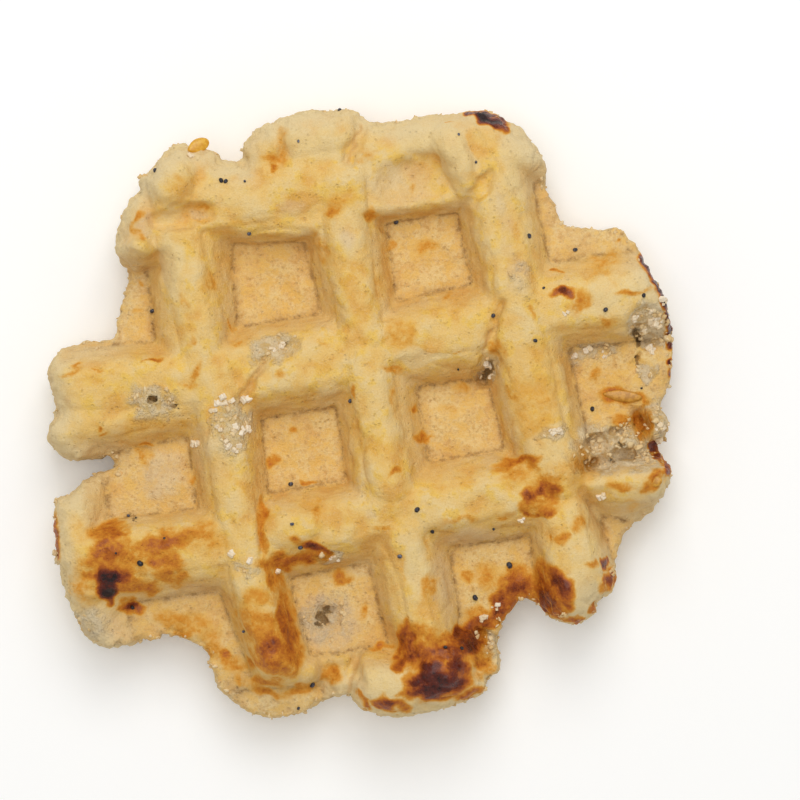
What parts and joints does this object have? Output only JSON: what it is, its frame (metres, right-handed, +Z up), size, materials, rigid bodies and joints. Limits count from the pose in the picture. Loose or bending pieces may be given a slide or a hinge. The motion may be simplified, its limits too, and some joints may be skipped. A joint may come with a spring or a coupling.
{
  "type": "liege waffle",
  "caption": "Thick round waffle of rich dough with deep square pockets on both sides, a ragged torn rim, and poppy seeds, flax seeds and pearl sugar baked in.",
  "frame": {"origin": "bottom centre of the bounding box, on the plane the waffle rests on", "axes": "+Z up through the shown side, +X to the picture's right, +Y to the picture's top"},
  "size_m": [0.1244, 0.1213, 0.0232],
  "materials": {
    "baked_dough": "baked golden crust, matt to satin, with browned and burnt sugar patches"
  },
  "bodies": {
    "root": {"waffle": "baked_dough"}
  },
  "joints": []
}
